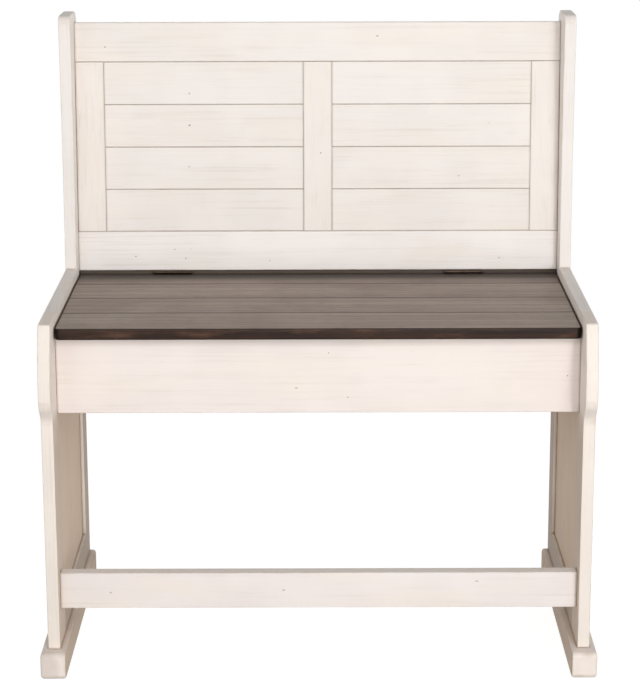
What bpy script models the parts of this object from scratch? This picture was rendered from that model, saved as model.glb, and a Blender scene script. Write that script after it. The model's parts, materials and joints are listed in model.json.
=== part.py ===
"""Counter-height storage bench with a planked back.

Two pew-style end panels on sled feet carry a leaning planked back, a storage box and a foot
rail. The plank seat is the lid of the box and turns up on two butt hinges at its back edge.

Metres, +Z up. The front faces -Y. The origin is on the floor under the middle of the bench.
"""

import math

import bmesh
import bpy
from mathutils import Matrix, Vector

# Fits and edges
CLEAR = 0.0003  # gap left between two pieces that touch
EDGE_ROUND = 0.0025  # rounding along the edges of the painted boards
JOINT_ROUND = 0.0005  # rounding where a painted board meets its neighbour
LID_EDGE_ROUND = 0.003  # rounding along the outer edges of the seat
SMALL_EDGE_ROUND = 0.001  # rounding along the fixed rail and the battens
GROOVE_CHAMFER = 0.0012  # half of a V groove between two boards
ARC_STEP = math.radians(9)  # one facet of a rounded corner
SHARP = math.radians(40)  # edges at a larger angle are rounded, or drawn sharp
FLAT = math.radians(0.1)  # faces at a smaller angle become one
SAME = 0.00001  # places closer than this are one place

# End panels
WIDTH = 0.930  # across the outer faces of the two end panels
PANEL_DEPTH = 0.520  # front edge of the front stile to back edge of the post
PANEL_THICK = 0.021
FRONT_STILE_WIDTH = 0.085
POST_WIDTH = 0.090  # at the arm
POST_FOOT_WIDTH = 0.063  # below the arm rail
ARM_RAIL_HEIGHT = 0.175
BOTTOM_RAIL_HEIGHT = 0.050
INFILL_THICK = 0.008
INFILL_TONGUE = 0.008  # how far the infill panel reaches into its frame
ARM_RISE = 0.017  # arms above the seat
ARM_CORNER_ROUND = 0.005
NOSE_REACH = 0.026  # how far the nose of the arm stands ahead of the leg
NOSE_SHOULDER = 0.003  # how far the top corner of the arm stands ahead of the leg
NOSE_TOP_DROP = 0.088  # from the arm down to the upper end of the nose
NOSE_LENGTH = 0.050  # straight part of the nose, measured upright
NOSE_RETURN = 0.028  # height of the slope from the nose back to the leg
NOSE_TOP_ROUND = 0.120
NOSE_ROUND = 0.030
POST_HOLLOW = 0.010  # how far the post's front edge curves back above the arm
POST_HOLLOW_HEIGHT = 0.270  # height of that point above the arm
POST_HOLLOW_ROUND = 2.8
POST_TOP_DEPTH = 0.1179
POST_FRONT_ROUND = 0.015
POST_BACK_ROUND = 0.030
POST_LEAN_ROUND = 0.9
POST_RISE = 0.019  # posts above the top rail of the back

# Sled feet
FOOT_WIDTH = 0.044
FOOT_HEIGHT = 0.047
FOOT_FRONT_REACH = 0.026  # beyond the end panel
FOOT_REAR_REACH = 0.002
FOOT_ROUND = 0.009
FOOT_EDGE_ROUND = 0.005
GLIDE_RADIUS = 0.013
GLIDE_HEIGHT = 0.003
GLIDE_EDGE = 0.001
GLIDE_INSET = 0.055  # glide centre from the end of the foot
GLIDE_NAIL_RADIUS = 0.0015
GLIDE_NAIL_LENGTH = 0.014

# Back
BACK_LEAN = math.radians(3.8)
BACK_THICK = 0.022
BACK_SETBACK = 0.040  # back's face behind the front edge of the post, at the seat
BACK_GAP = 0.006  # between the seat and the back's bottom rail
BACK_BOTTOM_RAIL = 0.0735
BACK_TOP_RAIL = 0.071
BACK_SIDE_STILE = 0.0525
BACK_MID_STILE = 0.0525
PLANK_HEIGHT = 0.078
PLANK_ROWS = 4
PLANK_THICK = 0.016
TONGUE_THICK = 0.005
TONGUE_REACH = 0.006
TONGUE_DEPTH = 0.0055  # tongue's front side behind the face of the boards

# Seat, which is the lid of the storage box
SEAT_TOP = 0.607
LID_THICK = 0.020
LID_WHOLE_PLANKS = 3  # the plank at the hinges takes what is left
LID_PLANK_WIDTH = 0.1143
LID_SETBACK = 0.038  # lid's front edge behind the front edge of the leg
LID_SIDE_GAP = 0.0018
LID_CORNER_ROUND = 0.008
BATTEN_WIDTH = 0.045
BATTEN_THICK = 0.015
BATTEN_MARGIN = 0.030  # batten's ends from the box's front and from the lid's back edge
BATTEN_INSET = 0.134  # middle of an outer batten from the end panel
REAR_RAIL_WIDTH = 0.034
LIP_ROOM = 0.001  # between a hinge and the lip of the fixed rail behind it

# Storage box under the seat
APRON_SETBACK = 0.060  # front apron's face behind the front edge of the leg
APRON_HEIGHT = 0.133
APRON_THICK = 0.020
CLEAT_SIZE = 0.014
BOX_FLOOR_THICK = 0.006
CORNER_BLOCK = 0.030
CORNER_BLOCK_DROP = 0.020  # block's top below the apron's top

# Foot rail
FOOT_RAIL_BOTTOM = 0.115
FOOT_RAIL_HEIGHT = 0.064
FOOT_RAIL_THICK = 0.025
FOOT_RAIL_SETBACK = 0.024

# Hinges
HINGE_FROM_BACK = 0.0055  # hinge axis ahead of the back's face
HINGE_INSET = 0.174  # middle of a hinge from the end panel
HINGE_LENGTH = 0.070
KNUCKLES = 5
KNUCKLE_RADIUS = 0.003
HINGE_PIN_RADIUS = 0.0012
HINGE_PIN_HEAD = 0.0022
HINGE_PIN_HEAD_LENGTH = 0.001
LEAF_THICK = 0.0012
LEAF_HEIGHT = 0.015

# Tenons and bolts
TENON_REACH = 0.010  # into the end panel
TENON_SHOULDER = 0.010  # rail beside its tenon, above and below
BACK_TENON_THICK = 0.008
FOOT_RAIL_TENON_THICK = 0.010
BOLT_RADIUS = 0.003
BOLT_HEAD_RADIUS = 0.0065
BOLT_HEAD_HEIGHT = 0.004
BOLT_BITE = 0.013  # length of a corner bolt in the end panel

# Finishes: colour, roughness, metallic
WHITE_PAINT = ((0.82, 0.77, 0.71, 1.0), 0.50, 0.0)
DARK_STAIN = ((0.060, 0.040, 0.030, 1.0), 0.35, 0.0)
BARE_WOOD = ((0.42, 0.28, 0.16, 1.0), 0.70, 0.0)
PLYWOOD = ((0.50, 0.36, 0.22, 1.0), 0.65, 0.0)
BRONZE = ((0.080, 0.060, 0.045, 1.0), 0.45, 0.9)
STEEL = ((0.55, 0.55, 0.56, 1.0), 0.35, 1.0)
NYLON = ((0.70, 0.68, 0.64, 1.0), 0.55, 0.0)

# Places that follow from the sizes
FRONT = -PANEL_DEPTH / 2
INNER = WIDTH / 2 - PANEL_THICK
PANEL_MIDDLE = WIDTH / 2 - PANEL_THICK / 2
FOOT_TOP = GLIDE_HEIGHT + FOOT_HEIGHT
PANEL_BOTTOM = FOOT_TOP + CLEAR
ARM_TOP = SEAT_TOP + ARM_RISE
ARM_RAIL_BOTTOM = ARM_TOP - ARM_RAIL_HEIGHT
POST_FRONT = -FRONT - POST_WIDTH
POST_STEP = POST_WIDTH - POST_FOOT_WIDTH
BACK_FACE = POST_FRONT + BACK_SETBACK
BACK_BOTTOM = SEAT_TOP + BACK_GAP
BACK_HEIGHT = BACK_BOTTOM_RAIL + PLANK_ROWS * PLANK_HEIGHT + BACK_TOP_RAIL
POST_TOP = BACK_BOTTOM + BACK_HEIGHT * math.cos(BACK_LEAN) + POST_RISE
LID_BOTTOM = SEAT_TOP - LID_THICK
HINGE_Y = BACK_FACE - HINGE_FROM_BACK
HINGE_Z = SEAT_TOP + CLEAR + KNUCKLE_RADIUS
LEAF_OFFSET = CLEAR / 2  # leaf's inner side from the plane through the hinge axis
HINGE_SEAT = LEAF_OFFSET + LEAF_THICK + CLEAR  # board's edge from that plane
LID_FRONT = FRONT + LID_SETBACK
LID_BACK = HINGE_Y - HINGE_SEAT
REAR_RAIL_FRONT = HINGE_Y + HINGE_SEAT
REAR_RAIL_BACK = REAR_RAIL_FRONT + REAR_RAIL_WIDTH
LIP_FRONT = HINGE_Y + KNUCKLE_RADIUS + LIP_ROOM
APRON_FRONT = FRONT + APRON_SETBACK
APRON_BACK = APRON_FRONT + APRON_THICK
APRON_TOP = LID_BOTTOM - CLEAR
APRON_BOTTOM = APRON_TOP - APRON_HEIGHT
REAR_APRON_FRONT = REAR_RAIL_FRONT
REAR_APRON_BACK = REAR_APRON_FRONT + APRON_THICK
BOX_HALF = INNER - CLEAR

SIDE_VIEW = (math.pi / 2, 0.0, math.pi / 2)  # outline's axes become Y and Z


def clear_scene():
    for obj in list(bpy.data.objects):
        bpy.data.objects.remove(obj)


def new_collection(name):
    collection = bpy.data.collections.new(name)
    bpy.context.scene.collection.children.link(collection)
    return collection


def finish_material(name, finish):
    colour, roughness, metallic = finish
    material = bpy.data.materials.new(name + "_finish")
    material.use_nodes = True
    shader = material.node_tree.nodes["Principled BSDF"]
    shader.inputs["Base Color"].default_value = colour
    shader.inputs["Roughness"].default_value = roughness
    shader.inputs["Metallic"].default_value = metallic
    material.diffuse_color = colour
    return material


def add_part(name, mesh, finish):
    """A visible piece of the bench."""
    mesh.name = name
    obj = bpy.data.objects.new(name, mesh)
    mesh.materials.append(finish_material(name, finish))
    BENCH.objects.link(obj)
    return obj


def add_cutter(name, mesh):
    """A shape that is only taken away from others."""
    mesh.name = name
    obj = bpy.data.objects.new(name, mesh)
    obj.hide_render = True
    obj.display_type = "WIRE"
    CUTTERS.objects.link(obj)
    return obj


def add_empty(name, location, rotation=(0.0, 0.0, 0.0)):
    empty = bpy.data.objects.new(name, None)
    empty.location = location
    empty.rotation_euler = rotation
    BENCH.objects.link(empty)
    return empty


def keep_place_under(parent, objects):
    """Parents the objects without moving them."""
    bpy.context.view_layer.update()
    for obj in objects:
        obj.parent = parent
        obj.matrix_parent_inverse = parent.matrix_world.inverted()


def put_in(parent, objects):
    """Parents the objects, whose places are already given in the parent's own axes."""
    for obj in objects:
        obj.parent = parent


def round_edges(obj, width, joints, joint_width):
    """Rounds the sharp edges, and those that lie on a joint's plane to another width.

    A joint is (axis, place) in the mesh's own axes.
    """
    shape = bmesh.new()
    shape.from_mesh(obj.data)
    weight = shape.edges.layers.float.new("bevel_weight_edge")
    for edge in shape.edges:
        if edge.calc_face_angle() < SHARP:
            continue
        edge[weight] = 1.0
        for axis, place in joints:
            if all(abs(vert.co[axis] - place) < SAME for vert in edge.verts):
                edge[weight] = joint_width / width
    shape.to_mesh(obj.data)
    shape.free()
    bevel = obj.modifiers.new("edges", "BEVEL")
    bevel.width = width
    bevel.segments = 2
    bevel.limit_method = "WEIGHT"


def cut(obj, cutter):
    boolean = obj.modifiers.new("cut " + cutter.name, "BOOLEAN")
    boolean.operation = "DIFFERENCE"
    boolean.solver = "EXACT"
    boolean.object = cutter


def join(obj, other):
    boolean = obj.modifiers.new("join " + other.name, "BOOLEAN")
    boolean.operation = "UNION"
    boolean.solver = "EXACT"
    boolean.object = other


def box_mesh(low, high):
    """A box between two corners, with its origin at its centre; the centre is returned too."""
    low = Vector(low)
    high = Vector(high)
    mesh = bpy.data.meshes.new("box")
    shape = bmesh.new()
    bmesh.ops.create_cube(shape, size=1.0)
    bmesh.ops.scale(shape, vec=high - low, verts=shape.verts)
    shape.to_mesh(mesh)
    shape.free()
    return mesh, (low + high) / 2


def board(name, low, high, finish, edge=EDGE_ROUND, joints=()):
    """A sawn board with rounded edges. Its joints are (axis, place) in the bench's axes."""
    mesh, centre = box_mesh(low, high)
    obj = add_part(name, mesh, finish)
    obj.location = centre
    if edge:
        planes = [(axis, place - centre[axis]) for axis, place in joints]
        round_edges(obj, edge, planes, JOINT_ROUND)
    return obj


def box_cutter(name, low, high):
    mesh, centre = box_mesh(low, high)
    obj = add_cutter(name, mesh)
    obj.location = centre
    return obj


def fillet(before, corner, after, radius):
    """Points of the arc that rounds one corner of an outline."""
    to_before = (before - corner).normalized()
    to_after = (after - corner).normalized()
    opening = to_before.angle(to_after)
    run = radius / math.tan(opening / 2)
    centre = corner + (to_before + to_after).normalized() * radius / math.sin(opening / 2)
    start = corner + to_before * run - centre
    turn = start.angle_signed(corner + to_after * run - centre)
    steps = max(3, math.ceil(abs(turn) / ARC_STEP))
    points = []
    for step in range(steps + 1):
        spoke = start.copy()
        spoke.rotate(Matrix.Rotation(-turn * step / steps, 2))
        points.append(centre + spoke)
    return points


def rounded_outline(corners):
    """Turns corners (across, up, radius) into a closed outline."""
    places = [Vector(corner[:2]) for corner in corners]
    points = []
    for index, (across, up, radius) in enumerate(corners):
        if radius:
            after = places[(index + 1) % len(places)]
            points.extend(fillet(places[index - 1], places[index], after, radius))
        else:
            points.append(Vector((across, up)))
    return points


def extruded_mesh(points, thickness):
    """A flat outline given a thickness, as one closed mesh."""
    curve = bpy.data.curves.new("outline", "CURVE")
    curve.dimensions = "2D"
    curve.fill_mode = "BOTH"
    curve.extrude = thickness / 2
    spline = curve.splines.new("POLY")
    spline.points.add(len(points) - 1)
    for point, place in zip(spline.points, points):
        point.co = (place[0], place[1], 0.0, 1.0)
    spline.use_cyclic_u = True
    guide = bpy.data.objects.new("outline", curve)
    CUTTERS.objects.link(guide)
    graph = bpy.context.evaluated_depsgraph_get()
    mesh = bpy.data.meshes.new_from_object(guide.evaluated_get(graph))
    bpy.data.objects.remove(guide)
    bpy.data.curves.remove(curve)
    shape = bmesh.new()
    shape.from_mesh(mesh)
    bmesh.ops.remove_doubles(shape, verts=shape.verts, dist=1e-5)
    bmesh.ops.dissolve_limit(shape, angle_limit=FLAT, verts=shape.verts, edges=shape.edges)
    bmesh.ops.recalc_face_normals(shape, faces=shape.faces)
    shape.to_mesh(mesh)
    shape.free()
    return mesh


def smooth(mesh):
    """Shades the round faces smooth."""
    mesh.shade_smooth()
    mesh.set_sharp_from_angle(angle=SHARP)
    return mesh


def shaped_board(name, corners, thickness, place, finish, edge=EDGE_ROUND, joints=()):
    """A board sawn to an outline in side view. Its joints are (axis, place) in the outline."""
    obj = add_part(name, smooth(extruded_mesh(rounded_outline(corners), thickness)), finish)
    obj.location = place
    obj.rotation_euler = SIDE_VIEW
    if edge:
        round_edges(obj, edge, joints, JOINT_ROUND)
    return obj


def turned_mesh(profile, sides):
    """A closed turned shape from (radius, height) points that run down its outer side."""
    mesh = bpy.data.meshes.new("turned")
    edges = [(index, index + 1) for index in range(len(profile) - 1)]
    mesh.from_pydata([(radius, 0.0, height) for radius, height in profile], edges, [])
    guide = bpy.data.objects.new("turned", mesh)
    CUTTERS.objects.link(guide)
    screw = guide.modifiers.new("turn", "SCREW")
    screw.steps = sides
    screw.render_steps = sides
    screw.use_merge_vertices = True
    screw.merge_threshold = 1e-5
    graph = bpy.context.evaluated_depsgraph_get()
    turned = bpy.data.meshes.new_from_object(guide.evaluated_get(graph))
    bpy.data.objects.remove(guide)
    bpy.data.meshes.remove(mesh)
    return turned


def placed_mesh(mesh, place):
    mesh.transform(place)
    return smooth(mesh)


def pointing(place, direction):
    """A matrix that puts a shape's foot at a place and turns its +Z to a direction."""
    turn = Vector((0.0, 0.0, 1.0)).rotation_difference(Vector(direction))
    return Matrix.Translation(Vector(place)) @ turn.to_matrix().to_4x4()


def cylinder_profile(radius, length):
    return [(0.0, length), (radius, length), (radius, 0.0), (0.0, 0.0)]


def pin_hole(name, place, radius, length, sides=8):
    """A round hole for a pin whose foot is at the place."""
    profile = cylinder_profile(radius + CLEAR, length + CLEAR)
    return add_cutter(name, placed_mesh(turned_mesh(profile, sides), place))


# End panels

def nose_corners():
    """The front stile seen from the side, from the foot up round the nose to the arm."""
    arm_rail_joint = FRONT_STILE_WIDTH
    nose_top = ARM_TOP - NOSE_TOP_DROP
    nose_bottom = nose_top - NOSE_LENGTH
    return [
        (arm_rail_joint, PANEL_BOTTOM, 0.0),
        (arm_rail_joint, ARM_TOP, 0.0),
        (-NOSE_SHOULDER, ARM_TOP, ARM_CORNER_ROUND),
        (-NOSE_REACH, nose_top, NOSE_TOP_ROUND),
        (-NOSE_REACH, nose_bottom, NOSE_ROUND),
        (0.0, nose_bottom - NOSE_RETURN, NOSE_ROUND),
        (0.0, PANEL_BOTTOM, 0.0),
    ]


def post_corners():
    """The post seen from the side; across is measured from its front edge at the arm."""
    hollow = ARM_TOP + POST_HOLLOW_HEIGHT
    return [
        (POST_WIDTH, PANEL_BOTTOM, 0.0),
        (POST_WIDTH, ARM_TOP, POST_LEAN_ROUND),
        (POST_TOP_DEPTH, POST_TOP, POST_BACK_ROUND),
        (0.0, POST_TOP, POST_FRONT_ROUND),
        (POST_HOLLOW, hollow, POST_HOLLOW_ROUND),
        (0.0, ARM_TOP, 0.0),
        (0.0, ARM_RAIL_BOTTOM, 0.0),
        (POST_STEP, ARM_RAIL_BOTTOM, 0.0),
        (POST_STEP, PANEL_BOTTOM, 0.0),
    ]


def end_panel(side, sign):
    """Front stile, post, two rails and the infill panel of one end."""
    middle = sign * PANEL_MIDDLE
    low_x = middle - PANEL_THICK / 2
    high_x = middle + PANEL_THICK / 2
    rail_front = FRONT + FRONT_STILE_WIDTH + CLEAR
    arm_rail_back = POST_FRONT - CLEAR
    rail_back = POST_FRONT + POST_STEP - CLEAR
    bottom_rail_top = PANEL_BOTTOM + BOTTOM_RAIL_HEIGHT
    stile = shaped_board(
        side + "_front_stile",
        nose_corners(),
        PANEL_THICK,
        (middle, FRONT, 0.0),
        WHITE_PAINT,
        joints=((0, FRONT_STILE_WIDTH), (1, PANEL_BOTTOM)),
    )
    post = shaped_board(
        side + "_post",
        post_corners(),
        PANEL_THICK,
        (middle, POST_FRONT, 0.0),
        WHITE_PAINT,
        joints=((0, 0.0), (0, POST_STEP), (1, PANEL_BOTTOM)),
    )
    arm_rail = board(
        side + "_arm_rail",
        (low_x, rail_front, ARM_RAIL_BOTTOM),
        (high_x, arm_rail_back, ARM_TOP),
        WHITE_PAINT,
        joints=((1, rail_front), (1, arm_rail_back)),
    )
    bottom_rail = board(
        side + "_bottom_rail",
        (low_x, rail_front, PANEL_BOTTOM),
        (high_x, rail_back, bottom_rail_top),
        WHITE_PAINT,
        joints=((1, rail_front), (1, rail_back), (2, PANEL_BOTTOM)),
    )
    reach = INFILL_TONGUE
    infill_low = Vector((middle - INFILL_THICK / 2, rail_front - reach, bottom_rail_top - reach))
    infill_high = Vector((middle + INFILL_THICK / 2, rail_back + reach, ARM_RAIL_BOTTOM + reach))
    board(side + "_infill_panel", infill_low, infill_high, WHITE_PAINT, edge=0)
    spare = Vector((CLEAR, CLEAR, CLEAR))
    housing = box_cutter(side + "_infill_housing", infill_low - spare, infill_high + spare)
    frame = [stile, post, arm_rail, bottom_rail]
    for member in frame:
        cut(member, housing)
    return {"stile": stile, "post": post, "arm_rail": arm_rail, "bottom_rail": bottom_rail}


# Feet

def foot(side, sign):
    low = -FOOT_FRONT_REACH
    high = PANEL_DEPTH + FOOT_REAR_REACH
    corners = [
        (low, GLIDE_HEIGHT + CLEAR, FOOT_ROUND),
        (high, GLIDE_HEIGHT + CLEAR, FOOT_ROUND),
        (high, FOOT_TOP, FOOT_ROUND),
        (low, FOOT_TOP, FOOT_ROUND),
    ]
    place = (sign * PANEL_MIDDLE, FRONT, 0.0)
    return shaped_board(
        side + "_foot", corners, FOOT_WIDTH, place, WHITE_PAINT, edge=FOOT_EDGE_ROUND
    )


def glides(side, sign, piece):
    """Two nylon glides, each on a nail under one end of a foot."""
    tall = GLIDE_HEIGHT + GLIDE_NAIL_LENGTH
    profile = [
        (0.0, tall),
        (GLIDE_NAIL_RADIUS, tall),
        (GLIDE_NAIL_RADIUS, GLIDE_HEIGHT),
        (GLIDE_RADIUS, GLIDE_HEIGHT),
        (GLIDE_RADIUS, GLIDE_EDGE),
        (GLIDE_RADIUS - GLIDE_EDGE, 0.0),
        (0.0, 0.0),
    ]
    front = FRONT - FOOT_FRONT_REACH + GLIDE_INSET
    rear = -FRONT + FOOT_REAR_REACH - GLIDE_INSET
    for end, y in (("front", front), ("rear", rear)):
        name = end + "_" + side + "_glide"
        place = Matrix.Translation((sign * PANEL_MIDDLE, y, 0.0))
        add_part(name, placed_mesh(turned_mesh(profile, 20), place), NYLON)
        cut(piece, pin_hole(name + "_nail_hole", place, GLIDE_NAIL_RADIUS, tall))


def tenons(rail, low, high, receivers):
    """Gives both ends of a rail a tenon, and the pieces beside it their mortises.

    low and high are the corners of the tenons' section along the whole rail.
    """
    reach = Vector((TENON_REACH, 0.0, 0.0))
    spare = Vector((CLEAR, CLEAR, CLEAR))
    core_low = Vector(low) - reach
    core_high = Vector(high) + reach
    core = box_cutter(rail.name + "_tenons", core_low, core_high)
    mortises = box_cutter(rail.name + "_mortises", core_low - spare, core_high + spare)
    join(rail, core)
    for piece in receivers:
        cut(piece, mortises)
    return [core, mortises]


# Back, in axes of its own: X across, Y into the boards, Z up its face

def rail_corners(low, high, tongue_up, groove_down):
    """Section of a lengthwise board of the back: (depth, height) corners."""
    chamfer = GROOVE_CHAMFER
    front = TONGUE_DEPTH
    rear = TONGUE_DEPTH + TONGUE_THICK
    thick = BACK_THICK
    corners = [(0.0, high - chamfer, 0.0), (0.0, low + chamfer, 0.0), (chamfer, low, 0.0)]
    if groove_down:
        depth = low + TONGUE_REACH + CLEAR
        corners += [(front - CLEAR, low, 0.0), (front - CLEAR, depth, 0.0)]
        corners += [(rear + CLEAR, depth, 0.0), (rear + CLEAR, low, 0.0)]
    corners += [(thick - chamfer, low, 0.0), (thick, low + chamfer, 0.0)]
    corners += [(thick, high - chamfer, 0.0), (thick - chamfer, high, 0.0)]
    if tongue_up:
        reach = high + TONGUE_REACH
        corners += [(rear, high, 0.0), (rear, reach, 0.0), (front, reach, 0.0), (front, high, 0.0)]
    corners += [(chamfer, high, 0.0)]
    return corners


def plank_corners(low, high):
    """Section of a plank: a groove below and a tongue above, chamfered on the face."""
    chamfer = GROOVE_CHAMFER
    front = TONGUE_DEPTH
    rear = TONGUE_DEPTH + TONGUE_THICK
    depth = low + TONGUE_REACH + CLEAR
    reach = high + TONGUE_REACH
    return [
        (0.0, high - chamfer, 0.0),
        (0.0, low + chamfer, 0.0),
        (chamfer, low, 0.0),
        (front - CLEAR, low, 0.0),
        (front - CLEAR, depth, 0.0),
        (rear + CLEAR, depth, 0.0),
        (rear + CLEAR, low, 0.0),
        (PLANK_THICK, low, 0.0),
        (PLANK_THICK, high, 0.0),
        (rear, high, 0.0),
        (rear, reach, 0.0),
        (front, reach, 0.0),
        (front, high, 0.0),
        (chamfer, high, 0.0),
    ]


def back_rails(half, posts):
    """The top and bottom rails, which run from post to post on tenons."""
    top_low = BACK_HEIGHT - BACK_TOP_RAIL
    bottom = rail_corners(0.0, BACK_BOTTOM_RAIL - CLEAR, True, False)
    top = rail_corners(top_low, BACK_HEIGHT, False, True)
    length = 2 * half
    middle = (0.0, 0.0, 0.0)
    bottom_rail = shaped_board("back_bottom_rail", bottom, length, middle, WHITE_PAINT, edge=0)
    top_rail = shaped_board("back_top_rail", top, length, middle, WHITE_PAINT, edge=0)
    spots = ((bottom_rail, 0.0, BACK_BOTTOM_RAIL), (top_rail, top_low, BACK_TOP_RAIL))
    depth = (BACK_THICK - BACK_TENON_THICK) / 2
    helpers = []
    for rail, low, tall in spots:
        core_low = (-half, depth, low + TENON_SHOULDER)
        core_high = (half, depth + BACK_TENON_THICK, low + tall - TENON_SHOULDER)
        helpers += tenons(rail, core_low, core_high, posts)
    return [bottom_rail, top_rail], helpers


def back_stiles(half):
    """Three uprights between the rails, grooved for the planks and for the rail's tongue."""
    low = BACK_BOTTOM_RAIL
    high = BACK_HEIGHT - BACK_TOP_RAIL - CLEAR
    spans = {
        "left": (-half, -half + BACK_SIDE_STILE),
        "middle": (-BACK_MID_STILE / 2, BACK_MID_STILE / 2),
        "right": (half - BACK_SIDE_STILE, half),
    }
    rear = TONGUE_DEPTH + TONGUE_THICK
    room = 2 * CLEAR
    cutters = [
        box_cutter(
            "bottom_rail_tongue_room",
            (-2 * half, TONGUE_DEPTH - room, low - TONGUE_REACH),
            (2 * half, rear + room, low + TONGUE_REACH),
        )
    ]
    reach = TONGUE_REACH + CLEAR
    for side, start, end in (
        ("left", spans["left"][1] - reach, spans["middle"][0] + reach),
        ("right", spans["middle"][1] - reach, spans["right"][0] + reach),
    ):
        cutters.append(
            box_cutter(
                side + "_plank_housing",
                (start, TONGUE_DEPTH - CLEAR, 0.0),
                (end, rear + CLEAR, BACK_HEIGHT),
            )
        )
    stiles = []
    for name, (start, end) in spans.items():
        stile = board(
            "back_" + name + "_stile",
            (start, 0.0, low),
            (end, BACK_THICK, high),
            WHITE_PAINT,
            edge=GROOVE_CHAMFER,
        )
        for cutter in cutters:
            cut(stile, cutter)
        stiles.append(stile)
    return stiles, cutters


def back_planks(half):
    """Two fields of planks, tongued into each other and into the uprights."""
    inner = BACK_MID_STILE / 2 + CLEAR
    outer = half - BACK_SIDE_STILE - CLEAR
    length = outer - inner
    planks = []
    shoulders = []
    for side, sign in (("left", -1), ("right", 1)):
        middle = sign * (inner + outer) / 2
        for end in (-1, 1):
            edge = middle + end * length / 2
            beyond = edge + end * 2 * TONGUE_REACH
            low_x = min(edge, beyond)
            high_x = max(edge, beyond)
            front = TONGUE_DEPTH
            rear = TONGUE_DEPTH + TONGUE_THICK
            label = side + "_shoulder_" + ("a" if end < 0 else "b")
            shoulders.append(
                box_cutter(label + "_front", (low_x, -front, 0.0), (high_x, front, BACK_HEIGHT))
            )
            shoulders.append(
                box_cutter(label + "_rear", (low_x, rear, 0.0), (high_x, 2 * rear, BACK_HEIGHT))
            )
        for row in range(PLANK_ROWS):
            low = BACK_BOTTOM_RAIL + row * PLANK_HEIGHT
            corners = plank_corners(low, low + PLANK_HEIGHT - CLEAR)
            name = "back_" + side + "_plank_" + str(row + 1)
            plank = shaped_board(
                name, corners, length + 2 * TONGUE_REACH, (middle, 0.0, 0.0), WHITE_PAINT, edge=0
            )
            for shoulder in shoulders[-4:]:
                cut(plank, shoulder)
            planks.append(plank)
    return planks, shoulders


def back(posts):
    """The planked back, on an empty that gives it its lean."""
    frame = add_empty("back_frame", (0.0, BACK_FACE, BACK_BOTTOM), (-BACK_LEAN, 0.0, 0.0))
    half = BOX_HALF
    rails, helpers = back_rails(half, posts)
    stiles, housings = back_stiles(half)
    planks, shoulders = back_planks(half)
    put_in(frame, rails + helpers + stiles + housings + planks + shoulders)


# Storage box

def rear_rail_corners():
    """The fixed rail seen from the side. Its lip rises behind the hinges to the sloping back."""

    def under_back(y):
        return BACK_BOTTOM - CLEAR - (y - BACK_FACE) * math.tan(BACK_LEAN)

    return [
        (REAR_RAIL_FRONT, LID_BOTTOM, 0.0),
        (REAR_RAIL_BACK, LID_BOTTOM, 0.0),
        (REAR_RAIL_BACK, under_back(REAR_RAIL_BACK), 0.0),
        (LIP_FRONT, under_back(LIP_FRONT), 0.0),
        (LIP_FRONT, SEAT_TOP, 0.0),
        (REAR_RAIL_FRONT, SEAT_TOP, 0.0),
    ]


def storage_box(panels):
    """Aprons, cleats, floor, corner blocks and the fixed rail behind the lid."""
    ends = ((0, -BOX_HALF), (0, BOX_HALF))
    board(
        "front_apron",
        (-BOX_HALF, APRON_FRONT, APRON_BOTTOM),
        (BOX_HALF, APRON_BACK, APRON_TOP),
        WHITE_PAINT,
        joints=ends,
    )
    board(
        "rear_apron",
        (-BOX_HALF, REAR_APRON_FRONT, APRON_BOTTOM),
        (BOX_HALF, REAR_APRON_BACK, APRON_TOP),
        WHITE_PAINT,
        joints=ends,
    )
    shaped_board(
        "seat_rear_rail",
        rear_rail_corners(),
        2 * BOX_HALF,
        (0.0, 0.0, 0.0),
        DARK_STAIN,
        edge=SMALL_EDGE_ROUND,
        joints=((2, -BOX_HALF), (2, BOX_HALF)),
    )
    room_front = APRON_BACK + CLEAR
    room_back = REAR_APRON_FRONT - CLEAR
    board(
        "front_floor_cleat",
        (-BOX_HALF, room_front, APRON_BOTTOM),
        (BOX_HALF, room_front + CLEAT_SIZE, APRON_BOTTOM + CLEAT_SIZE),
        BARE_WOOD,
        edge=0,
    )
    board(
        "rear_floor_cleat",
        (-BOX_HALF, room_back - CLEAT_SIZE, APRON_BOTTOM),
        (BOX_HALF, room_back, APRON_BOTTOM + CLEAT_SIZE),
        BARE_WOOD,
        edge=0,
    )
    floor_low = APRON_BOTTOM + CLEAT_SIZE + CLEAR
    floor_high = floor_low + BOX_FLOOR_THICK
    board(
        "storage_floor",
        (-BOX_HALF, room_front, floor_low),
        (BOX_HALF, room_back, floor_high),
        PLYWOOD,
        edge=0,
    )
    corner_blocks(panels, floor_high + CLEAR)


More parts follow.
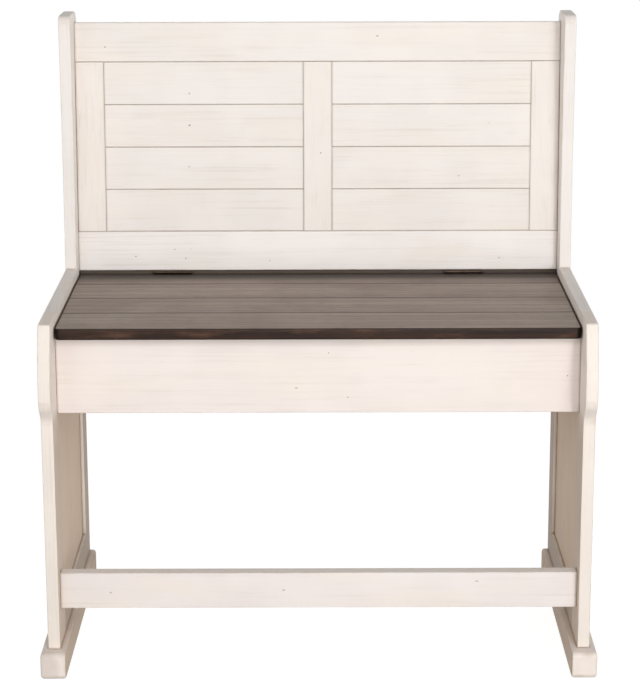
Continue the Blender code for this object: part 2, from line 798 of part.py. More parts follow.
def corner_blocks(panels, low):
    """A block in each corner of the box, glued to its apron and bolted to the end panel."""
    high = APRON_TOP - CORNER_BLOCK_DROP
    length = CORNER_BLOCK + CLEAR + BOLT_BITE
    profile = [
        (0.0, length),
        (BOLT_RADIUS / 2, length),
        (BOLT_RADIUS, length - BOLT_RADIUS),
        (BOLT_RADIUS, 0.0),
        (BOLT_HEAD_RADIUS, 0.0),
        (BOLT_HEAD_RADIUS, -BOLT_HEAD_HEIGHT),
        (0.0, -BOLT_HEAD_HEIGHT),
    ]
    for panel, side, sign in zip(panels, ("left", "right"), (-1, 1)):
        inner_x = sign * (BOX_HALF - CORNER_BLOCK)
        outer_x = sign * BOX_HALF
        ends = (("front", APRON_BACK + CLEAR, 1), ("rear", REAR_APRON_FRONT - CLEAR, -1))
        for end, start_y, away in ends:
            name = end + "_" + side
            end_y = start_y + away * CORNER_BLOCK
            block = board(
                name + "_corner_block",
                (min(inner_x, outer_x), min(start_y, end_y), low),
                (max(inner_x, outer_x), max(start_y, end_y), high),
                BARE_WOOD,
                edge=0,
            )
            spot = (inner_x - sign * CLEAR, (start_y + end_y) / 2, (low + high) / 2)
            place = pointing(spot, (sign, 0.0, 0.0))
            add_part(name + "_corner_bolt", placed_mesh(turned_mesh(profile, 10), place), STEEL)
            hole = pin_hole(name + "_bolt_hole", place, BOLT_RADIUS, length, 10)
            for piece in (block, panel["stile"], panel["arm_rail"], panel["post"]):
                cut(piece, hole)


# Lid

def lid_plank_corners(low, high, front_round):
    """Plan of a seat plank; the front plank has rounded corners."""
    half = INNER - LID_SIDE_GAP
    return [
        (-half, low, front_round),
        (half, low, front_round),
        (half, high, 0.0),
        (-half, high, 0.0),
    ]


def lid_planks():
    """The seat's planks, side by side from front to back."""
    edges = [LID_FRONT + index * LID_PLANK_WIDTH for index in range(LID_WHOLE_PLANKS + 1)]
    edges.append(LID_BACK)
    planks = []
    for index in range(LID_WHOLE_PLANKS + 1):
        front_plank = index == 0
        low = edges[index] if front_plank else edges[index] + CLEAR
        high = edges[index + 1]
        corners = lid_plank_corners(low, high, LID_CORNER_ROUND if front_plank else 0.0)
        mesh = extruded_mesh(rounded_outline(corners), LID_THICK)
        plank = add_part("seat_plank_" + str(index + 1), smooth(mesh), DARK_STAIN)
        plank.location.z = (LID_BOTTOM + SEAT_TOP) / 2
        joints = [(1, high)] if front_plank else [(1, low), (1, high)]
        round_edges(plank, LID_EDGE_ROUND, joints, GROOVE_CHAMFER)
        planks.append(plank)
    return planks


def lid_battens():
    """Battens that hold the planks together from below."""
    low_y = APRON_BACK + BATTEN_MARGIN
    high_y = LID_BACK - BATTEN_MARGIN
    high = LID_BOTTOM - CLEAR
    low = high - BATTEN_THICK
    spread = INNER - BATTEN_INSET
    names = {"left": -spread, "middle": 0.0, "right": spread}
    battens = []
    for name, x in names.items():
        batten = board(
            "lid_" + name + "_batten",
            (x - BATTEN_WIDTH / 2, low_y, low),
            (x + BATTEN_WIDTH / 2, high_y, high),
            BARE_WOOD,
            edge=SMALL_EDGE_ROUND,
        )
        battens.append(batten)
    return battens


# Hinges

def knuckle_spans(owner):
    """Start and end along the hinge of the knuckles that belong to the frame or to the lid."""
    pitch = HINGE_LENGTH / KNUCKLES
    first = 0 if owner == "frame" else 1
    spans = []
    for index in range(first, KNUCKLES, 2):
        start = -HINGE_LENGTH / 2 + index * pitch
        spans.append((start + CLEAR / 2, start + pitch - CLEAR / 2))
    return spans


def hinge_leaf(name, x, owner):
    """One leaf with its knuckles. The lid's leaf is ahead of the axis, the frame's behind."""
    sign = -1 if owner == "lid" else 1
    near = HINGE_Y + sign * LEAF_OFFSET
    far = HINGE_Y + sign * (LEAF_OFFSET + LEAF_THICK)
    top = HINGE_Z - KNUCKLE_RADIUS - CLEAR
    low_y = min(near, far)
    high_y = max(near, far)
    leaf = board(
        name,
        (x - HINGE_LENGTH / 2, low_y, top - LEAF_HEIGHT),
        (x + HINGE_LENGTH / 2, high_y, top),
        BRONZE,
        edge=0,
    )
    tab_top = HINGE_Z - (KNUCKLE_RADIUS + HINGE_PIN_RADIUS + CLEAR) / 2
    for index, (start, end) in enumerate(knuckle_spans(owner)):
        label = name + "_knuckle_" + str(index + 1)
        tab = box_cutter(
            label + "_tab", (x + start, low_y, top - LEAF_THICK), (x + end, high_y, tab_top)
        )
        place = pointing((x + start, HINGE_Y, HINGE_Z), (1.0, 0.0, 0.0))
        tube = turned_mesh(cylinder_profile(KNUCKLE_RADIUS, end - start), 16)
        knuckle = add_cutter(label, placed_mesh(tube, place))
        join(leaf, tab)
        join(leaf, knuckle)
    bore_start = pointing((x - HINGE_LENGTH, HINGE_Y, HINGE_Z), (1.0, 0.0, 0.0))
    bore = pin_hole(name + "_bore", bore_start, HINGE_PIN_RADIUS, 2 * HINGE_LENGTH, 12)
    cut(leaf, bore)
    return leaf


def hinge_pin(name, x):
    head = HINGE_PIN_HEAD_LENGTH
    half = HINGE_LENGTH / 2 + CLEAR
    profile = [
        (0.0, half + head),
        (HINGE_PIN_HEAD, half + head),
        (HINGE_PIN_HEAD, half),
        (HINGE_PIN_RADIUS, half),
        (HINGE_PIN_RADIUS, -half),
        (HINGE_PIN_HEAD, -half),
        (HINGE_PIN_HEAD, -half - head),
        (0.0, -half - head),
    ]
    place = pointing((x, HINGE_Y, HINGE_Z), (1.0, 0.0, 0.0))
    add_part(name, placed_mesh(turned_mesh(profile, 12), place), BRONZE)


def hinges():
    """Two butt hinges between the back edge of the lid and the fixed rail."""
    lid_leaves = []
    spread = INNER - HINGE_INSET
    for side, x in (("left", -spread), ("right", spread)):
        hinge_leaf(side + "_hinge_frame_leaf", x, "frame")
        lid_leaves.append(hinge_leaf(side + "_hinge_lid_leaf", x, "lid"))
        hinge_pin(side + "_hinge_pin", x)
    return lid_leaves


# Foot rail

def foot_rail(panels):
    """The rail under the sitter's feet, tenoned into the two front stiles."""
    low_y = FRONT + FOOT_RAIL_SETBACK
    top = FOOT_RAIL_BOTTOM + FOOT_RAIL_HEIGHT
    rail = board(
        "foot_rail",
        (-BOX_HALF, low_y, FOOT_RAIL_BOTTOM),
        (BOX_HALF, low_y + FOOT_RAIL_THICK, top),
        WHITE_PAINT,
        joints=((0, -BOX_HALF), (0, BOX_HALF)),
    )
    tenon_front = low_y + (FOOT_RAIL_THICK - FOOT_RAIL_TENON_THICK) / 2
    low = (-BOX_HALF, tenon_front, FOOT_RAIL_BOTTOM + TENON_SHOULDER)
    high = (BOX_HALF, tenon_front + FOOT_RAIL_TENON_THICK, top - TENON_SHOULDER)
    tenons(rail, low, high, [panel["stile"] for panel in panels])


def build():
    panels = [end_panel("left", -1), end_panel("right", 1)]
    for side, sign in (("left", -1), ("right", 1)):
        glides(side, sign, foot(side, sign))
    back([panel["post"] for panel in panels])
    foot_rail(panels)
    storage_box(panels)
    lid_parts = lid_planks() + lid_battens() + hinges()
    lid_hinge = add_empty("lid_hinge", (0.0, HINGE_Y, HINGE_Z))
    keep_place_under(lid_hinge, lid_parts)


clear_scene()
BENCH = new_collection("bench")
CUTTERS = new_collection("cutters")
build()
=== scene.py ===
import json
import math

import bmesh
import bpy
from mathutils import Matrix, Vector

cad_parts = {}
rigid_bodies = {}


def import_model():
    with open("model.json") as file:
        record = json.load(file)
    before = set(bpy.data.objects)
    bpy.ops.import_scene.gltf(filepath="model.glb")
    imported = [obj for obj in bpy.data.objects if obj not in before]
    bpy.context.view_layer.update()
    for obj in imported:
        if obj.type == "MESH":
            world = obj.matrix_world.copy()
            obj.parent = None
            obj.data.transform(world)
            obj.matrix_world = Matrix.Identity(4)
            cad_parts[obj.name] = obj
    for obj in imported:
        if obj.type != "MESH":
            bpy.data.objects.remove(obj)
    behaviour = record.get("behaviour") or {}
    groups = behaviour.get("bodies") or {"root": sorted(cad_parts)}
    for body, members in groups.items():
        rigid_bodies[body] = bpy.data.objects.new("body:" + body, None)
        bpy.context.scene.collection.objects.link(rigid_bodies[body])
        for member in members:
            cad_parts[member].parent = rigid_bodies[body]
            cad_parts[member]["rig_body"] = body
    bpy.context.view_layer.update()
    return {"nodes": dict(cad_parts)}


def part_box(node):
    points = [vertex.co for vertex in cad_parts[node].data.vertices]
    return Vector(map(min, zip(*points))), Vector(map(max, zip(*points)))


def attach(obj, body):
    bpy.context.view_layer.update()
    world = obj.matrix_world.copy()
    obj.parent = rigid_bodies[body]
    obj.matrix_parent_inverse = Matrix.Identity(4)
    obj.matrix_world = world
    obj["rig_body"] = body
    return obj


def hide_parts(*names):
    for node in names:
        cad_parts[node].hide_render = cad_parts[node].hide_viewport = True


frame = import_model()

nodes = frame["nodes"]

# Camera, solved from the photograph (640 x 693 pixels)
CAMERA_PLACE = (0.0033, -3.898, 1.5065)
CAMERA_PITCH = math.radians(-14.21)
CAMERA_ROLL = math.radians(-0.145)
CAMERA_LENS = 117.4  # millimetres, as is the sensor's width
SENSOR = 36.0

# Light: a key lamp and four softer ones, in a room with pale walls and a darker ceiling.
# Each lamp has a place, a size and a power.
LAMPS = {
    "key": ((1.2, -4.2, 0.95), 0.45, 44.0),
    "ahead": ((0.2, -4.0, 0.45), 0.8, 12.0),
    "right": ((1.7, -4.0, 2.4), 0.8, 18.0),
    "left": ((-2.1, -3.9, 2.4), 0.8, 12.0),
    "above": ((1.0, -3.2, 3.2), 1.2, 13.0),
}
LAMP_TARGET = (0.0, 0.0, 0.55)
WALL_LEVEL = 1.25
CEILING_LEVEL = 0.22
WALL_TOP = 0.15  # a direction's upward share, where the wall starts to turn into the ceiling
CEILING_EDGE = 0.55
WHITE_LEVEL = 1.0  # is seen as pure white

FLOOR_SIZE = 14.0
FLOOR_NEAR = 0.9  # from the middle to where the floor starts to turn into the background
FLOOR_FAR = 2.4
FLOOR_BOUNCE = 0.6  # grey of the floor for the light that it throws back on the bench
FLOOR_SHADE = 0.25  # grey of the floor as it is seen, which keeps the shadow
FLOOR_GLOW = 0.93  # glow of the floor as it is seen

# Joints: where they are in the row frame, and how far the glaze or stain in them reaches
SEAT_JOINTS = (-0.1077, 0.0066, 0.1209)
BACK_JOINTS = (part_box("back_left_stile")[1][0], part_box("back_middle_stile")[0][0],
               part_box("back_middle_stile")[1][0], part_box("back_right_stile")[0][0])
JOINT_CORE = 0.0010
JOINT_REACH = 0.0034
SEAT_JOINT_CORE = 0.0014
SEAT_JOINT_REACH = 0.0030

# Painted shade that the finish itself carries, in the row frame
GLAZE_AND_SHADE_FULL = 0.445  # height under the seat up to which the glaze and painted shade are full
GLAZE_AND_SHADE_END = 0.475
SEAT_SHADE = (0.108, 0.172)  # painted shade darkening the seat towards the back, from front to back
# painted shade along the seat's rear edge, under the back, from front to back
SEAT_REAR_SHADE = (0.150, 0.178)
APRON_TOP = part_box("front_apron")[1][2]

# Screws: their places in the row frame, and the sizes of their heads
SCREW_SIDES = 20
SCREW_RADIUS = 0.0038
SCREW_RISE = 0.0007
SCREW_ROOT = 0.0001  # how far a head reaches into the board
LEAF_FRAME_FACE = 0.20465
LEAF_LID_FACE = 0.20435
LEAF_SCREW_STEP = 0.025
LEAF_SCREW_HIGH = 0.6015
LEAF_SCREW_LOW = 0.5965
LEAF_SCREW_RADIUS = 0.0026
LEAF_SCREW_RISE = 0.00012
BLOCK_SCREW_INSET = 0.018
BATTEN_SCREWS = (-0.136, -0.122, -0.080, -0.022, 0.034, 0.093, 0.136, 0.162)
BATTEN_SCREW_STEP = 0.011
CLEAT_SCREWS = (-0.36, -0.18, 0.0, 0.18, 0.36)
CLEAT_SCREW_RADIUS = 0.0034
FOOT_SCREWS = (-0.17, 0.0, 0.15)
FOOT_SCREW_RADIUS = 0.0045

# Shares of a head's radius or rise
HEAD_TOP = 0.88
HEAD_SHOULDER = 0.5
CROSS_ARM = 0.58
CROSS_SLOT = 0.13
CROSS_TAPER = 0.85
CROSS_FLOOR = 0.1

# Meshes
WELD = 1e-6  # corners nearer than this are one
FLAT = math.radians(0.05)  # faces that bend less than this are one
SHARP = math.radians(30)  # edges that bend more than this aren't smoothed
NARROW = 0.004  # faces narrower than this are the rounding of an edge

# Materials
BOARD_SEEDS = 40.0  # spreads the boards' random numbers over the noise
RING_WAVES = 60.0  # growth rings, in radians over the noise's range
PLY_LAYERS = 5200.0  # radians per metre of height


def srgb(red, green, blue):
    """A colour given in 0 to 255, as the linear colour that the nodes take."""
    linear = []
    for value in (red, green, blue):
        value /= 255
        linear.append(value / 12.92 if value <= 0.04045 else ((value + 0.055) / 1.055) ** 2.4)
    return (*linear, 1.0)


# Colours of the finishes
PAINT_WARM = srgb(243, 232, 217)
PAINT_STREAK = srgb(220, 209, 197)
PAINT_FINE = srgb(208, 195, 180)
PAINT_GLAZE = srgb(164, 143, 123)
PAINT_RUBBED = srgb(206, 188, 166)
PAINT_BARE = srgb(136, 106, 80)
# also the colour of the painted shadows among the marks
PAINT_SPECK_AND_SHADE = srgb(112, 92, 76)
# the seat's top: partly worn paler, partly painted sheen
STAIN_TOP_WEAR_AND_SHEEN = (srgb(148, 132, 121), srgb(170, 153, 141))
STAIN_PALE_WEAR_AND_SHEEN = srgb(186, 168, 156)
STAIN_CLOUD = srgb(86, 62, 50)
STAIN_PORE = srgb(34, 26, 21)
STAIN_SHADED = srgb(84, 72, 64)
STAIN_REAR_SHADE = srgb(52, 43, 38)
# painted dark reflection on the rounded edges
STAIN_EDGE_REFLECTION = srgb(24, 17, 13)
STAIN_RUBBED = srgb(112, 82, 62)
STAIN_JOINT = srgb(30, 22, 17)
STAIN_CREVICE = srgb(26, 19, 15)
STAIN_END = (srgb(24, 15, 11), srgb(50, 34, 26))
PINE_RING = (srgb(222, 190, 146), srgb(198, 154, 104))
PINE_FIBRE = srgb(176, 132, 88)
PINE_CLOUD = srgb(210, 172, 130)
PINE_END = (srgb(172, 132, 88), srgb(204, 166, 120))
PINE_CORNER_SHADE = srgb(128, 96, 66)
PLY_FIGURE = (srgb(226, 199, 160), srgb(208, 174, 128))
PLY_FIBRE = srgb(186, 148, 104)
PLY_LAYER = (srgb(150, 112, 72), srgb(214, 184, 142))
METAL_CREVICE = srgb(30, 26, 22)
NYLON = srgb(58, 56, 54)
NYLON_DUST = srgb(104, 98, 90)


def add_node(tree, kind, inputs=None, **settings):
    """A new node. An input that is another node's output is linked, and any other is set."""
    node = tree.nodes.new("ShaderNode" + kind)
    for key, value in settings.items():
        setattr(node, key, value)
    for key, value in (inputs or {}).items():
        if isinstance(value, bpy.types.NodeSocket):
            tree.links.new(value, node.inputs[key])
        else:
            node.inputs[key].default_value = value
    return node


class Nodes:
    """The node tree of one material. Its methods add nodes and return their main output."""

    def __init__(self, name):
        self.material = bpy.data.materials.new(name)
        self.material.use_nodes = True
        self.tree = self.material.node_tree
        self.tree.nodes.clear()
        self.place = self.add("TexCoord").outputs["Object"]
        self.board = self.add("ObjectInfo").outputs["Random"]

    def add(self, kind, inputs=None, **settings):
        return add_node(self.tree, kind, inputs, **settings)

    def math(self, operation, a, b=0.0):
        return self.add("Math", {0: a, 1: b}, operation=operation).outputs[0]

    def attribute(self, name):
        return self.add("Attribute", attribute_name=name).outputs["Fac"]

    def mix(self, factor, a, b, blend="MIX"):
        made = self.add("Mix", {0: factor, 6: a, 7: b}, data_type="RGBA", blend_type=blend)
        return made.outputs[2]

    def remap(self, value, low, high, to_low=0.0, to_high=1.0):
        """value between low and high, turned smoothly into to_low to to_high."""
        made = self.add("MapRange", {0: value, 1: low, 2: high, 3: to_low, 4: to_high},
                        interpolation_type="SMOOTHSTEP")
        return made.outputs[0]

    def stretch(self, scale):
        """Coordinates scaled along each axis, so that noise in them runs along the grain."""
        return self.add("Mapping", {"Vector": self.place, "Scale": scale}).outputs[0]

    def noise(self, where, scale=1.0, detail=2.0, roughness=0.5, distortion=0.0, salt=0.0):
        """Noise of 0 to 1 that differs from board to board."""
        seed = self.math("MULTIPLY_ADD", self.board, BOARD_SEEDS)
        seed.node.inputs[2].default_value = salt
        made = self.add("TexNoise", {"Vector": where, "W": seed, "Scale": scale,
                                     "Detail": detail, "Roughness": roughness,
                                     "Distortion": distortion}, noise_dimensions="4D")
        return made.outputs[0]

    def bump(self, height, distance, strength):
        made = self.add("Bump", {"Height": height, "Distance": distance, "Strength": strength})
        return made.outputs[0]

    def crevice(self, reach, low, high):
        """1 deep in a joint or inner corner, 0 on an open face."""
        made = self.add("AmbientOcclusion", {"Distance": reach}, samples=6)
        return self.remap(made.outputs["AO"], low, high, 1.0, 0.0)

    def inward(self):
        """1 on upright faces that look towards the middle of the bench, 0 elsewhere."""
        facing = self.add("SeparateXYZ", {0: self.add("NewGeometry").outputs["True Normal"]})
        across = self.add("SeparateXYZ", {0: self.place})
        product = self.math("MULTIPLY", facing.outputs["X"], across.outputs["X"])
        return self.remap(product, -0.40, -0.25, 1.0, 0.0)

    def upward(self):
        """1 on faces that look up, 0 elsewhere."""
        facing = self.add("SeparateXYZ", {0: self.add("NewGeometry").outputs["True Normal"]})
        return self.remap(facing.outputs["Z"], 0.3, 0.95)

    def below(self, low, high):
        """1 below one height, 0 above the other."""
        height = self.add("SeparateXYZ", {0: self.place}).outputs["Z"]
        return self.remap(height, low, high, 1.0, 0.0)

    def mark(self, centre, radii):
        """1 inside an ellipsoid with a soft edge, 0 outside it."""
        away = self.add("VectorMath", {0: self.place, 1: centre}, operation="SUBTRACT")
        scaled = self.add("VectorMath", {0: away.outputs[0], 1: radii}, operation="DIVIDE")
        length = self.add("VectorMath", {0: scaled.outputs[0]}, operation="LENGTH")
        return self.remap(length.outputs["Value"], 0.55, 1.1, 1.0, 0.0)

    def finish(self, inputs):
        shader = self.add("BsdfPrincipled", inputs)
        out = self.add("OutputMaterial")
        self.tree.links.new(shader.outputs[0], out.inputs[0])
        return self.material


def along(axis, fine, coarse):
    """A scale that is coarse along the board's axis and fine across it."""
    return tuple(coarse if letter == axis else fine for letter in "XYZ")


def paint(name, axis, specks_and_shades=(), tint=(243, 236, 230), glaze_and_shade=(201, 189, 176), painted_light_top=None,
          joints=()):
    """Antique white paint over wood: brush strokes along the board, glaze left in the joints
    and glaze with painted shade on the inward faces under the seat, edges rubbed through in
    places, and a few dark specks, some marks being painted shadows. A painted-light top is the
    colour of the faces that look up, painted lighter than the rest."""
    n = Nodes(name)
    strokes = n.noise(n.stretch(along(axis, 210, 5)), detail=4.0, roughness=0.6)
    fine = n.noise(n.stretch(along(axis, 620, 22)), detail=2.0, salt=3.0)
    clouds = n.noise(n.place, 9.0, detail=3.0, salt=7.0)
    warm = n.noise(n.stretch(along(axis, 16, 5)), detail=2.0, salt=11.0)

    cooler = tuple(value - 4 for value in tint)
    colour = n.mix(n.remap(clouds, 0.35, 0.65), srgb(*tint), srgb(*cooler))
    colour = n.mix(n.remap(warm, 0.45, 0.75, 0.0, 0.4), colour, PAINT_WARM)
    streak = n.math("MULTIPLY", n.remap(strokes, 0.48, 0.78), n.remap(clouds, 0.3, 0.6, 0.15, 0.5))
    colour = n.mix(streak, colour, PAINT_STREAK)
    colour = n.mix(n.remap(fine, 0.62, 0.80, 0.0, 0.25), colour, PAINT_FINE)
    # glaze and painted shade on the inward faces under the seat
    glazed_and_shaded = n.math("MULTIPLY", n.inward(), n.below(GLAZE_AND_SHADE_FULL, GLAZE_AND_SHADE_END))
    colour = n.mix(glazed_and_shaded, colour, srgb(*glaze_and_shade), "MULTIPLY")
    # painted light: the faces that look up are painted lighter
    if painted_light_top:
        colour = n.mix(n.upward(), colour, srgb(*painted_light_top))

    patches = n.noise(n.place, 22.0, detail=4.0, roughness=0.6, salt=17.0)
    joint = n.crevice(0.005, 0.45, 0.95)
    across = n.add("SeparateXYZ", {0: n.place}).outputs["X"]
    for line in joints:
        away = n.math("ABSOLUTE", n.math("SUBTRACT", across, line))
        joint = n.math("MAXIMUM", joint, n.remap(away, JOINT_CORE, JOINT_REACH, 0.32, 0.0))
    glaze = n.math("MULTIPLY", joint, n.remap(patches, 0.25, 0.6, 0.50, 0.85))
    colour = n.mix(glaze, colour, PAINT_GLAZE)

    edge = n.attribute("edge")
    rubbed = n.math("MULTIPLY", edge, n.remap(patches, 0.46, 0.68, 0.02, 0.45))
    colour = n.mix(rubbed, colour, PAINT_RUBBED)
    bare = n.math("MULTIPLY", edge, n.remap(patches, 0.68, 0.76, 0.0, 0.7))
    colour = n.mix(bare, colour, PAINT_BARE)

    cells = n.add("TexVoronoi", {"Vector": n.place, "Scale": 21.0}, feature="F1")
    speck_and_shade = n.remap(cells.outputs["Distance"], 0.016, 0.030, 0.9, 0.0)
    # some marks are painted shadows, mixed in with the specks
    for centre, radii, strength in specks_and_shades:
        spot = n.math("MULTIPLY", n.mark(centre, radii), strength)
        speck_and_shade = n.math("MAXIMUM", speck_and_shade, spot)
    colour = n.mix(speck_and_shade, colour, PAINT_SPECK_AND_SHADE)

    height = n.math("ADD", n.math("MULTIPLY", strokes, 0.7), n.math("MULTIPLY", fine, 0.3))
    height = n.math("SUBTRACT", height, n.math("MULTIPLY", speck_and_shade, 0.6))
    roughness = n.remap(strokes, 0.3, 0.7, 0.50, 0.60)
    return n.finish({"Base Color": colour, "Roughness": roughness, "Specular IOR Level": 0.25,
                     "Normal": n.bump(height, 0.00035, 0.6)})


def stain(name, axis, joints=(), sides=((30, 18, 13), (54, 34, 24), (104, 74, 55)), edges=0.92):
    """Dark stained wood under satin lacquer: fine straight grain, open pores, a top paler than
    the edges, partly from use and partly painted sheen, painted shade towards the back and
    along the rear edge, rounded edges darkened with a painted dark reflection, and stain
    gathered in the joints. The edges argument is how strong that painted dark reflection is."""
    n = Nodes(name)
    facing = n.add("SeparateXYZ", {0: n.add("NewGeometry").outputs["True Normal"]})
    place = n.add("SeparateXYZ", {0: n.place})
    upward = n.remap(facing.outputs["Z"], 0.3, 0.95)
    bands = n.noise(n.stretch(along(axis, 95, 1.6)), detail=5.0, roughness=0.62, distortion=0.4)
    grain = n.noise(n.stretch(along(axis, 360, 7)), detail=3.0, roughness=0.6, salt=5.0)
    pores = n.noise(n.stretch(along(axis, 1300, 34)), detail=1.0, salt=9.0)
    clouds = n.noise(n.place, 7.0, detail=2.0, salt=13.0)
    flame = n.noise(n.stretch(along(axis, 60, 9)), detail=4.0, roughness=0.7, salt=15.0)

    streaks = n.remap(bands, 0.38, 0.62)
    side = n.mix(streaks, srgb(*sides[0]), srgb(*sides[1]))
    level = n.remap(facing.outputs["Z"], -0.9, -0.3, 0.25, 0.65)
    worn = n.math("MULTIPLY", n.remap(flame, 0.50, 0.70), level)
    side = n.mix(worn, side, srgb(*sides[2]))
    # the top: partly worn paler, partly painted sheen
    top = n.mix(streaks, *STAIN_TOP_WEAR_AND_SHEEN)
    top = n.mix(n.remap(grain, 0.50, 0.75, 0.0, 0.6), top, STAIN_PALE_WEAR_AND_SHEEN)
    colour = n.mix(upward, side, top)
    colour = n.mix(n.remap(clouds, 0.4, 0.7, 0.0, 0.2), colour, STAIN_CLOUD)
    pore = n.remap(pores, 0.60, 0.70)
    colour = n.mix(n.math("MULTIPLY", pore, 0.6), colour, STAIN_PORE)
    # painted shade: the seat darker towards the back
    shaded = n.remap(place.outputs["Y"], *SEAT_SHADE, 0.0, 0.62)
    colour = n.mix(shaded, colour, STAIN_SHADED)
    # painted shade: a dark band along the seat's rear edge, under the back
    rear = n.math("MULTIPLY", n.remap(place.outputs["Y"], *SEAT_REAR_SHADE, 0.0, 0.8), upward)
    colour = n.mix(rear, colour, STAIN_REAR_SHADE)
    edge = n.attribute("edge")
    # painted dark reflection on the rounded edges
    colour = n.mix(n.math("MULTIPLY", edge, edges), colour, STAIN_EDGE_REFLECTION)
    rubbed = n.math("MULTIPLY", edge, n.remap(clouds, 0.62, 0.76, 0.0, 0.6))
    colour = n.mix(rubbed, colour, STAIN_RUBBED)
    for line in joints:
        away = n.math("ABSOLUTE", n.math("SUBTRACT", place.outputs["Y"], line))
        depth = n.remap(away, SEAT_JOINT_CORE, SEAT_JOINT_REACH, 0.65, 0.0)
        colour = n.mix(depth, colour, STAIN_JOINT)
    corner = n.crevice(0.006, 0.45, 0.95)
    colour = n.mix(n.math("MULTIPLY", corner, 0.6), colour, STAIN_CREVICE)
    end_grain = n.noise(n.stretch((40.0, 420.0, 420.0)), detail=3.0, salt=21.0)
    ended = n.remap(n.math("ABSOLUTE", facing.outputs["X"]), 0.7, 0.95)
    ends = n.mix(n.remap(end_grain, 0.4, 0.65), *STAIN_END)
    colour = n.mix(ended, colour, ends)

    height = n.math("SUBTRACT", n.math("MULTIPLY", grain, 0.5), pore)
    roughness = n.math("ADD", n.remap(grain, 0.3, 0.7, 0.38, 0.48), n.math("MULTIPLY", edge, 0.2))
    return n.finish({"Base Color": colour, "Roughness": roughness, "Specular IOR Level": 0.16,
                     "Normal": n.bump(height, 0.00025, 0.5)})


def pine(name, axis):
    """Planed pine: growth rings drawn out along the board, fine fibres, arcs at its ends."""
    n = Nodes(name)
    rings = n.noise(n.stretch(along(axis, 26, 1.1)), detail=1.0, distortion=0.8)
    lines = n.math("SINE", n.math("MULTIPLY", rings, RING_WAVES))
    fibre = n.noise(n.stretch(along(axis, 700, 14)), detail=2.0, salt=4.0)
    clouds = n.noise(n.place, 11.0, detail=2.0, salt=8.0)
    colour = n.mix(n.remap(lines, -0.4, 0.9), *PINE_RING)
    colour = n.mix(n.remap(fibre, 0.55, 0.75, 0.0, 0.5), colour, PINE_FIBRE)
    colour = n.mix(n.remap(clouds, 0.45, 0.75, 0.0, 0.4), colour, PINE_CLOUD)
    facing = n.add("SeparateXYZ", {0: n.add("NewGeometry").outputs["True Normal"]})
    ended = n.remap(n.math("ABSOLUTE", facing.outputs[axis]), 0.7, 0.95)
    arcs = n.add("TexWave", {"Vector": n.place, "Scale": 120.0, "Distortion": 2.5},
                 wave_type="RINGS", rings_direction=axis).outputs["Fac"]
    colour = n.mix(ended, colour, n.mix(arcs, *PINE_END))
    # painted shade: darker in the inner corners
    corner = n.crevice(0.012, 0.4, 0.9)
    colour = n.mix(n.math("MULTIPLY", corner, 0.35), colour, PINE_CORNER_SHADE)
    return n.finish({"Base Color": colour, "Roughness": n.remap(fibre, 0.3, 0.7, 0.62, 0.78),
                     "Specular IOR Level": 0.3, "Normal": n.bump(fibre, 0.0003, 0.6)})


def ply(name):
    """Birch plywood: broad pale figure on the faces, thin layers at the cut edges."""
    n = Nodes(name)
    figure = n.noise(n.stretch((1.6, 17.0, 1.0)), detail=3.0, distortion=1.6)
    fibre = n.noise(n.stretch((16.0, 620.0, 16.0)), detail=2.0, salt=4.0)
    colour = n.mix(n.remap(figure, 0.35, 0.65), *PLY_FIGURE)
    colour = n.mix(n.remap(fibre, 0.52, 0.74, 0.0, 0.45), colour, PLY_FIBRE)
    facing = n.add("NewGeometry").outputs["True Normal"]
    upward = n.add("SeparateXYZ", {0: facing}).outputs["Z"]
    side = n.remap(n.math("ABSOLUTE", upward), 0.3, 0.7, 1.0, 0.0)
    height = n.add("SeparateXYZ", {0: n.place}).outputs["Z"]
    layers = n.remap(n.math("SINE", n.math("MULTIPLY", height, PLY_LAYERS)), -0.2, 0.4)
    colour = n.mix(side, colour, n.mix(layers, *PLY_LAYER))
    return n.finish({"Base Color": colour, "Roughness": n.remap(fibre, 0.3, 0.7, 0.52, 0.66),
                     "Specular IOR Level": 0.35, "Normal": n.bump(fibre, 0.0002, 0.5)})


def metal(name, base, worn, roughness, brushed=(90, 90, 90)):
    """Plated metal: fine brushing, cloudy tarnish, darker in its corners."""
    n = Nodes(name)
    brush = n.noise(n.stretch(tuple(float(value) for value in brushed)), detail=3.0)
    tarnish = n.noise(n.place, 130.0, detail=4.0, roughness=0.65, salt=6.0)
    colour = n.mix(n.remap(tarnish, 0.42, 0.68), srgb(*base), srgb(*worn))
    corner = n.crevice(0.004, 0.4, 0.95)
    colour = n.mix(n.math("MULTIPLY", corner, 0.6), colour, METAL_CREVICE)
    rough = n.remap(brush, 0.3, 0.7, roughness - 0.06, roughness + 0.10)
    return n.finish({"Base Color": colour, "Metallic": 1.0, "Roughness": rough,
                     "Normal": n.bump(brush, 0.00008, 0.5)})


def plastic(name):
    """Moulded nylon with a fine matt texture and floor dust."""
    n = Nodes(name)
    texture = n.noise(n.place, 900.0, detail=2.0)
    dust = n.noise(n.place, 60.0, detail=3.0, salt=5.0)
    colour = n.mix(n.remap(dust, 0.5, 0.7, 0.0, 0.6), NYLON, NYLON_DUST)
    return n.finish({"Base Color": colour, "Roughness": n.remap(texture, 0.3, 0.7, 0.48, 0.62),
                     "Normal": n.bump(texture, 0.0001, 0.5)})


